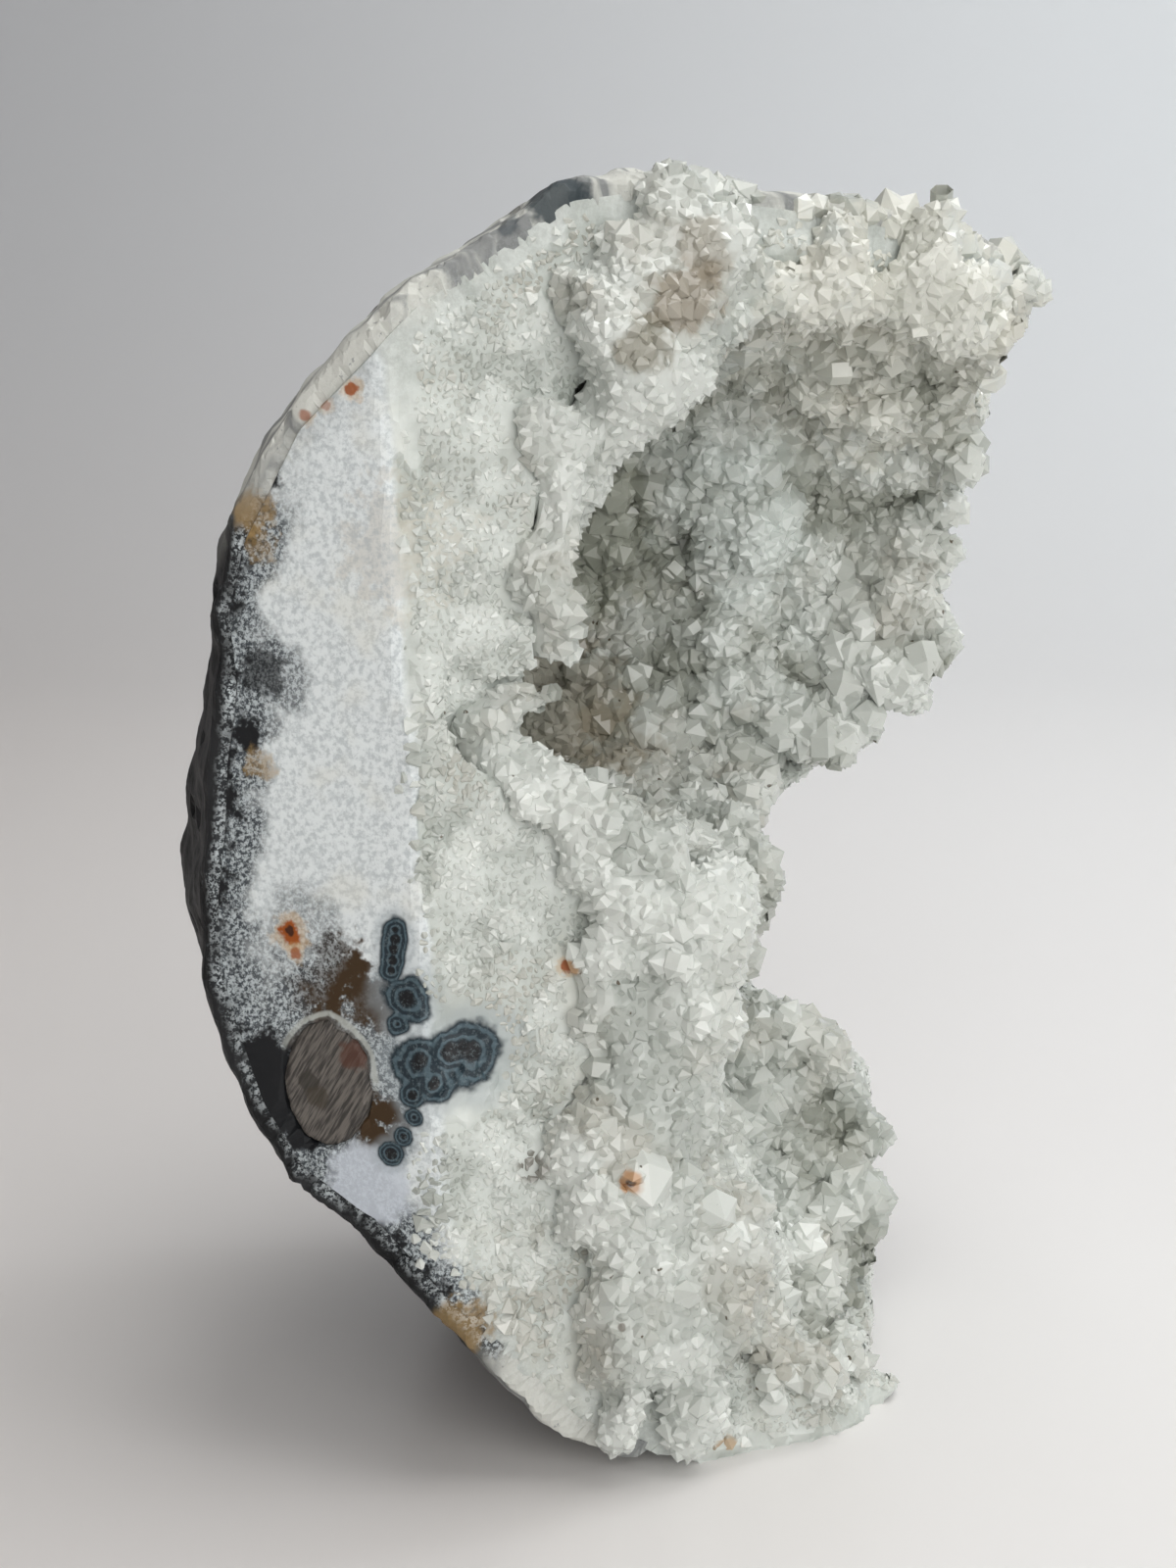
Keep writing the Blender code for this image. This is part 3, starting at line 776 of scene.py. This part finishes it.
def stain_or_painted_light(tree, colour, place, radius, tone, strength, swing):
    """A spot of another tone over a colour: a stain in most places, and painted shade or a painted highlight in a
    few.
    """
    mask = spot(tree, place, radius, swing).outputs["Mask"]
    return mix(tree, math_node(tree, "MULTIPLY", mask, strength), colour, tone)


def new_material(name):
    material = bpy.data.materials.new(name)
    material.use_nodes = True
    return material, material.node_tree, material.node_tree.nodes["Principled BSDF"]


def add_bump(tree, shader, height, strength, distance):
    node = tree.nodes.new("ShaderNodeBump")
    node.inputs["Strength"].default_value = strength
    node.inputs["Distance"].default_value = distance * MM
    tree.links.new(height, node.inputs["Height"])
    tree.links.new(node.outputs[0], shader.inputs["Normal"])


# %% [markdown]
# ## White quartz
# The sawn face is dull white with a fine grey grain. Towards the skin it turns to grey and black
# speckles, because splinters of basalt are mixed in. Rust and clay left small stains.

# %% The wall's finish: white, grain, and the speckled margin
quartz, tree, shader = new_material("massive_quartz")
times = lambda a, b: math_node(tree, "MULTIPLY", a, b)
grain = noise_node(tree, 1900.0, 3.0, 0.65).outputs["Fac"]
patches = noise_node(tree, 170.0, 3.0).outputs["Fac"]
salted = speckle(tree, 2900.0, (0.40, 0.62), (0.055, 0.065, 0.075), (0.50, 0.55, 0.57))
salt, pepper = salted.outputs["Color"], salted.outputs["Grain"]
swing = swing_of(tree, 700.0, 2.2)
slow_swing = swing_of(tree, 260.0, 1.6)
BLACK = (0.008, 0.009, 0.011)
white = mix(tree, ramp(tree, grain, 0.34, 0.60), (0.56, 0.605, 0.62), (0.79, 0.835, 0.845))
sugar_tone = mix(tree, attribute(tree, "tone"), (0.50, 0.535, 0.50), (0.72, 0.755, 0.725))
colour = mix(tree, attribute(tree, "sawn"), sugar_tone, white)
colour = mix(tree, ramp(tree, patches, 0.52, 0.72, 0.0, 0.35), colour, (0.74, 0.73, 0.64))
skin_away = attribute(tree, "skin_distance")
lump_away = attribute(tree, "lump_distance")
margin = math_node(tree, "ADD", skin_away, times(slow_swing, 5.0))
halo = math_node(tree, "ADD", lump_away, times(slow_swing, 5.5))
not_pale = ramp(tree, attribute(tree, "pale"), 0.0, 1.0, 1.0, 0.12)
colour = mix(tree, times(ramp(tree, margin, 4.2, 1.4), not_pale), colour, salt)
colour = mix(tree, ramp(tree, halo, 5.6, 3.6, 0.0, 0.9), colour, salt)
edge = ramp(tree, math_node(tree, "ADD", skin_away, times(swing, 2.6)), 1.5, 0.4)
colour = mix(tree, times(edge, not_pale), colour, BLACK)

# %% The wall's stains, one by one: x, height, radius, strength
BROWN_MOTTLE = ((-34.3, 44.2, 3.0, 1.0), (-36.5, 41.9, 2.4, 1.0), (-32.2, 42.6, 2.6, 0.9),
                (-30.6, 40.6, 1.6, 0.8), (-31.4, 31.2, 3.0, 1.0), (-33.9, 31.6, 1.9, 0.9))
BLACK_PATCHES = ((-41.1, 35.4, 3.4, 1.0), (-40.0, 32.6, 2.9, 1.0), (-38.2, 30.2, 1.9, 1.0), (-40.0, 84.5, 1.1, 1.0),
                 (-42.2, 63.3, 1.5, 1.0), (-40.9, 68.6, 2.2, 0.75), (-17.0, 27.9, 1.0, 0.35))
DARK_SPECKLE = ((-39.2, 67.9, 3.0, 0.8), (-41.6, 71.5, 2.4, 0.6), (-41.3, 64.6, 2.4, 0.7), (-43.0, 44.5, 3.4, 0.6),
                (-41.0, 86.0, 2.6, 0.6), (-37.5, 47.5, 4.2, 0.55), (-41.5, 40.5, 5.0, 0.7), (-36.8, 27.0, 5.0, 0.7))
OCHRE = ((-41.2, 60.9, 1.4, 0.6), (-41.2, 81.6, 2.0, 0.65), (-41.0, 79.0, 1.6, 0.5), (-24.3, 15.3, 2.5, 0.6),
         (-25.6, 13.7, 1.2, 0.7), (-28.5, 79.4, 5.5, 0.22))
RUST = ((-38.8, 47.1, 0.95, 1.0), (-38.3, 45.2, 0.5, 0.8), (-36.9, 89.5, 0.55, 0.8), (-35.2, 90.3, 0.45, 0.5),
        (-33.0, 91.5, 0.6, 0.9), (-15.6, 44.3, 0.6, 0.9), (-25.4, 15.0, 0.7, 0.9))
EYES = ((-29.8, 48.1, 1.0), (-29.8, 47.3, 1.0), (-29.9, 46.4, 1.0), (-30.0, 45.5, 0.95), (-30.1, 44.6, 0.85),
        (-28.8, 42.3, 1.8), (-29.6, 40.2, 1.0),
        (-23.3, 37.5, 2.35), (-25.4, 37.8, 1.5), (-27.9, 37.2, 2.0), (-26.6, 35.4, 1.5), (-28.4, 34.4, 1.1),
        (-28.3, 32.6, 0.8), (-29.2, 30.9, 0.75), (-30.3, 29.3, 0.9))
mottle = ramp(tree, swing_of(tree, 900.0, 1.0), -0.20, -0.05)
for x, z, radius, strength in BROWN_MOTTLE:
    mask = times(spot(tree, on_front(x, z), radius, swing).outputs["Mask"], mottle)
    colour = mix(tree, times(mask, strength), colour, (0.050, 0.027, 0.010))
for x, z, radius, strength in DARK_SPECKLE:
    mask = spot(tree, on_front(x, z), radius, slow_swing).outputs["Mask"]
    colour = mix(tree, times(mask, strength), colour, salt)
for x, z, radius, strength in BLACK_PATCHES:
    colour = stain_or_painted_light(tree, colour, on_front(x, z), radius, BLACK, strength, swing)
patchy = ramp(tree, grain, 0.3, 0.6, 0.35, 1.0)
for x, z, radius, strength in OCHRE:
    mask = spot(tree, on_front(x, z), radius, swing).outputs["Mask"]
    colour = mix(tree, times(times(mask, patchy), strength), colour, (0.36, 0.24, 0.10))
for x, z, radius, strength in RUST:
    colour = stain_or_painted_light(tree, colour, on_front(x, z), 1.7 * radius, (0.60, 0.38, 0.16), 0.45 * strength, swing)
    colour = stain_or_painted_light(tree, colour, on_front(x, z), radius, (0.33, 0.08, 0.012), strength, swing)
colour = stain_or_painted_light(tree, colour, on_front(-38.8, 47.2), 0.45, (0.03, 0.01, 0.005), 0.9, swing)
colour = stain_or_painted_light(tree, colour, on_front(-32.3, 26.3), 3.6, (0.62, 0.67, 0.74), 0.8, slow_swing)

# %% The pale ring round the lump, and the agate eyes
over_lump = spot(tree, on_front(-33.6, 39.2), 5.4, slow_swing).outputs["Mask"]
ring = times(ramp(tree, lump_away, 0.55, 0.75), ramp(tree, lump_away, 1.25, 1.0))
colour = mix(tree, times(times(ring, over_lump), 0.85), colour, (0.45, 0.47, 0.44))
close = times(ramp(tree, lump_away, 0.75, 0.5), over_lump)
colour = mix(tree, times(close, 0.8), colour, (0.11, 0.10, 0.09))
nearest = None
small_swing = times(slow_swing, 0.9)
for x, z, radius in EYES:
    found = spot(tree, on_front(x, z), radius, small_swing).outputs["Near"]
    nearest = found if nearest is None else math_node(tree, "SMOOTH_MIN", nearest, found)
eye = ramp(tree, nearest, 1.30, 1.0)
bands = ramp(tree, math_node(tree, "SINE", times(nearest, 16.0)), -0.4, 1.0)
bands = times(bands, ramp(tree, grain, 0.35, 0.6, 0.55, 1.0))
agate = mix(tree, bands, (0.016, 0.028, 0.038), (0.085, 0.13, 0.155))
agate = mix(tree, ramp(tree, nearest, 0.45, 0.25), agate, BLACK)
agate = mix(tree, ramp(tree, pepper, 0.5, 0.7, 0.0, 0.35), agate, (0.20, 0.25, 0.27))
blue_haze = ramp(tree, nearest, 2.3, 1.2, 0.0, 0.45)
colour = mix(tree, blue_haze, colour, (0.33, 0.38, 0.41))
colour = mix(tree, eye, colour, agate)
tree.links.new(colour, shader.inputs["Base Color"])
glossy = ramp(tree, nearest, 1.3, 1.0, 0.62, 0.3)
tree.links.new(glossy, shader.inputs["Roughness"])
shader.inputs["Specular IOR Level"].default_value = 0.3
shader.inputs["Subsurface Weight"].default_value = 0.1
shader.inputs["Subsurface Radius"].default_value = (1.0, 1.0, 1.0)
shader.inputs["Subsurface Scale"].default_value = 0.8 * MM
add_bump(tree, shader, grain, 0.5, 0.12)
wall.data.materials.append(quartz)

# %% Crystal finish
# Spots on the crystals: place, radius, tone, strength. Most are stains, rust and paler clumps; the large olive spot
# deep in the hollow, at x -15 and height 77, is painted shade.
DRUSE_TINTS_AND_SHADE = (
    ((-6.1, -11.0, 99.1), 3.4, (0.24, 0.18, 0.11), 0.6),
    ((-4.8, -9.0, 102.7), 2.8, (0.26, 0.21, 0.14), 0.5),
    ((-9.7, -14.5, 95.2), 2.4, (0.20, 0.17, 0.10), 0.6),
    # painted shade: the olive spot deep in the hollow
    ((-15.0, 30.0, 77.1), 9.0, (0.36, 0.37, 0.26), 0.5),
    ((-16.0, 20.5, 60.6), 7.0, (0.34, 0.30, 0.22), 0.6),
    ((-11.5, 28.0, 56.7), 5.0, (0.30, 0.24, 0.15), 0.4),
    ((12.0, 25.0, 98.0), 15.0, (0.80, 0.79, 0.70), 0.5),
    ((0.5, 28.0, 79.2), 8.0, (0.84, 0.90, 0.87), 0.7),
    ((0.3, 30.0, 66.4), 7.0, (0.84, 0.89, 0.86), 0.5),
    ((-18.5, -19.0, 27.7), 1.3, (0.12, 0.10, 0.07), 0.7),
    ((-15.6, -16.0, 44.3), 0.9, (0.50, 0.22, 0.04), 0.8),
    ((-10.5, -21.9, 27.4), 1.1, (0.50, 0.22, 0.05), 0.8),
    ((-10.5, -21.9, 27.4), 0.5, (0.04, 0.015, 0.01), 0.9),
    ((-11.2, -23.9, 15.3), 0.35, (0.10, 0.08, 0.05), 0.8),
    ((-2.3, -15.6, 0.6), 1.6, (0.50, 0.30, 0.12), 0.7),
)
druse, tree, shader = new_material("clear_quartz")
patches = noise_node(tree, 90.0, 2.0).outputs["Fac"]
wisps = noise_node(tree, 420.0, 3.0, 0.6).outputs["Fac"]
warm = mix(tree, ramp(tree, patches, 0.4, 0.65), (0.49, 0.52, 0.48), (0.53, 0.52, 0.46))
milk = mix(tree, ramp(tree, attribute(tree, "tone"), 0.1, 0.85), warm, (0.80, 0.83, 0.79))
tint = math_node(tree, "MULTIPLY", math_node(tree, "SUBTRACT", attribute(tree, "tint"), 0.5), 0.3)
milk = mix(tree, ramp(tree, tint, -0.15, 0.15, 0.28, 0.0), milk, (0.52, 0.56, 0.53))
milk = mix(tree, ramp(tree, wisps, 0.55, 0.8, 0.0, 0.5), milk, (0.57, 0.61, 0.58))
swing = swing_of(tree, 330.0, 1.8)
for place, radius, tone, strength in DRUSE_TINTS_AND_SHADE:
    milk = stain_or_painted_light(tree, milk, place, radius, tone, strength, swing)
# Painted shade: the crust is darkened to olive grey in the creases between its clumps and knobs.
crease_shade = ramp(tree, attribute(tree, "crease_shade"), 0.15, 0.70, 0.0, 0.8)
milk = mix(tree, crease_shade, milk, (0.33, 0.345, 0.29))
specks = noise_node(tree, 800.0, 1.0).outputs["Fac"]
milk = mix(tree, ramp(tree, specks, 0.775, 0.80), milk, (0.12, 0.10, 0.07))
tree.links.new(milk, shader.inputs["Base Color"])
shader.inputs["Roughness"].default_value = 0.2
shader.inputs["Coat Weight"].default_value = 0.4
shader.inputs["Coat Roughness"].default_value = 0.06
shader.inputs["IOR"].default_value = 1.54
shader.inputs["Transmission Weight"].default_value = 0.12
add_bump(tree, shader, wisps, 0.4, 0.25)
for piece in (crust_shape, crust_points, rim_points, large, sugar):
    piece.data.materials.clear()
    piece.data.materials.append(druse)

# %% Basalt finish
basalt, tree, shader = new_material("basalt")
fine = noise_node(tree, 1300.0, 4.0, 0.7).outputs["Fac"]
patches = noise_node(tree, 120.0, 4.0, 0.6).outputs["Fac"]
along = tree.nodes.new("ShaderNodeMapping")
along.inputs["Scale"].default_value = (80.0, 700.0, 80.0)
tree.links.new(object_places(tree), along.inputs["Vector"])
streaks = noise_node(tree, 1.0, 3.0, 0.6, along.outputs[0]).outputs["Fac"]
dark = mix(tree, ramp(tree, patches, 0.4, 0.62), (0.005, 0.0055, 0.0065), (0.020, 0.021, 0.023))
dark = mix(tree, ramp(tree, fine, 0.62, 0.76), dark, (0.11, 0.125, 0.14))
light = mix(tree, ramp(tree, streaks, 0.36, 0.56), (0.24, 0.25, 0.25), (0.62, 0.63, 0.59))
light = mix(tree, ramp(tree, fine, 0.62, 0.7), light, (0.30, 0.31, 0.31))
colour = mix(tree, attribute(tree, "pale"), dark, light)
swing = swing_of(tree, 400.0, 1.6)
salt = speckle(tree, 2400.0, (0.44, 0.58), (0.03, 0.035, 0.04), (0.55, 0.60, 0.62)).outputs["Color"]
by_wall = math_node(tree, "ADD", attribute(tree, "wall_distance"), swing)
speckled = ramp(tree, by_wall, 1.7, 0.6)
speckled = math_node(tree, "MULTIPLY", speckled, ramp(tree, attribute(tree, "pale"), 0.0, 1.0, 1.0, 0.1))
colour = mix(tree, speckled, colour, salt)
for place, radius, tone, strength in (
    ((-16.6, -11.0, 107.0), 2.9, (0.03, 0.045, 0.055), 0.9),
    ((-20.5, -12.0, 105.0), 1.2, (0.06, 0.075, 0.085), 0.7),
    ((-24.8, -22.0, 14.8), 2.4, (0.34, 0.23, 0.10), 0.6),
    (on_front(-41.2, 81.6), 2.0, (0.36, 0.24, 0.10), 0.6),
    (on_front(-36.9, 89.5), 0.6, (0.33, 0.08, 0.012), 0.7),
):
    colour = stain_or_painted_light(tree, colour, place, radius, tone, strength, swing)
tree.links.new(colour, shader.inputs["Base Color"])
shader.inputs["Roughness"].default_value = 0.55
shader.inputs["Specular IOR Level"].default_value = 0.25
add_bump(tree, shader, fine, 0.6, 0.2)
skin_shape.data.materials.append(basalt)

# %% Lump finish
brown, tree, shader = new_material("brown_basalt")
turned = tree.nodes.new("ShaderNodeMapping")
turned.vector_type = "TEXTURE"
turned.inputs["Rotation"].default_value = (0.0, math.radians(-60), 0.0)
turned.inputs["Scale"].default_value = (1 / 500, 1 / 500, 1 / 5200)
tree.links.new(object_places(tree), turned.inputs["Vector"])
streaks = noise_node(tree, 1.0, 2.0, 0.6, turned.outputs[0]).outputs["Fac"]
swing = swing_of(tree, 700.0, 1.6)
colour = mix(tree, ramp(tree, streaks, 0.36, 0.64), (0.036, 0.032, 0.029), (0.15, 0.135, 0.12))
colour = stain_or_painted_light(tree, colour, (-33.3, -19.0, 37.1), 1.4, (0.085, 0.028, 0.014), 0.75, swing)
# Painted highlight: a small white glint on the cut face.
colour = stain_or_painted_light(tree, colour, (-33.0, -19.0, 39.5), 0.6, (0.75, 0.77, 0.76), 0.9, swing)
colour = stain_or_painted_light(tree, colour, (-37.4, -18.0, 34.6), 0.9, (0.03, 0.026, 0.02), 0.8, swing)
colour = stain_or_painted_light(tree, colour, (-36.6, -18.0, 33.2), 1.0, (0.045, 0.035, 0.022), 0.7, swing)
tree.links.new(colour, shader.inputs["Base Color"])
shader.inputs["Roughness"].default_value = 0.6
add_bump(tree, shader, streaks, 0.6, 0.12)
lump.data.materials.append(brown)

# %% Every piece rides on the one body and stands for its solid
for piece, node in (
    (wall, "quartz_wall"),
    (skin_shape, "basalt_rind"),
    (lump, "basalt_inclusion"),
    (crust_shape, "crystal_crust"),
):
    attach(piece, "root")
    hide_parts(node)
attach(crust_points, "root")
for piece in (rim_points, large):
    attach(piece, "root")
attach(sugar, "root")

# %% [markdown]
# ## Table and light
# The geode stands on a smooth pale table that runs into the background without an edge. It is a
# plane whose back edge is extruded up, with a bevelled bend.

# %% Floor
bpy.ops.object.select_all(action="DESELECT")
bpy.ops.mesh.primitive_plane_add(size=1.0)
floor = bpy.context.object
floor.name = "table"
bpy.ops.object.mode_set(mode="EDIT")
bpy.ops.transform.resize(value=(3.0, 2.0, 1.0))
shape = bmesh.from_edit_mesh(floor.data)
for edge in shape.edges:
    edge.select_set(all(vert.co.y > 0.9 for vert in edge.verts))
bmesh.update_edit_mesh(floor.data)
bpy.ops.mesh.extrude_region_move(TRANSFORM_OT_translate={"value": (0.0, 0.0, 1.5)})
bpy.ops.object.mode_set(mode="OBJECT")
bend = floor.modifiers.new("bend", "BEVEL")
bend.width = 0.5
bend.segments = 12
apply_modifier(floor, bend)
bpy.ops.object.shade_smooth()
pale, tree, shader = new_material("pale_table")
tall = tree.nodes.new("ShaderNodeSeparateXYZ")
tree.links.new(object_places(tree), tall.inputs[0])
far_back = ramp(tree, tall.outputs["Y"], 0.35, 1.0)
# Painted shade and light: the backdrop and the table are darker on the left and lighter on the right.
lit_to_right = ramp(tree, tall.outputs["X"], -0.4, 0.35)
backdrop = mix(tree, lit_to_right, (0.66, 0.67, 0.69), (0.95, 0.98, 1.0))
table_lit_to_right = mix(tree, ramp(tree, tall.outputs["X"], -0.2, 0.1), (0.72, 0.685, 0.665), (0.90, 0.89, 0.885))
tree.links.new(mix(tree, far_back, table_lit_to_right, backdrop), shader.inputs["Base Color"])
shader.inputs["Roughness"].default_value = 0.35
floor.data.materials.append(pale)


# %% Lights
def add_light(name, place, aim, size, power, colour):
    bpy.ops.object.light_add(type="AREA", location=place)
    light = bpy.context.object
    light.name = name
    light.data.size = size
    light.data.energy = power
    light.data.color = colour
    light.rotation_euler = (Vector(aim) - Vector(place)).to_track_quat("-Z", "Y").to_euler()


STONE = (0.0, 0.0, 0.05)
WHITE = (1.0, 0.99, 0.97)
BLUISH = (0.93, 0.97, 1.0)
add_light("ceiling", (0.18, 0.02, 0.62), STONE, 0.55, 2.2, WHITE)
add_light("window", (0.42, -0.48, 0.30), STONE, 0.50, 1.0, WHITE)
add_light("room", (0.05, -0.70, 0.32), STONE, 0.60, 2.4, WHITE)
add_light("backdrop", (0.55, 0.30, 0.70), (0.25, 1.0, 0.45), 0.50, 2.4, BLUISH)
world = bpy.data.worlds.new("room")
bpy.context.scene.world = world
world.use_nodes = True
background = world.node_tree.nodes["Background"]
background.inputs["Color"].default_value = (0.93, 0.96, 1.0, 1.0)
background.inputs["Strength"].default_value = 1.0
bpy.context.scene.view_settings.view_transform = "Standard"
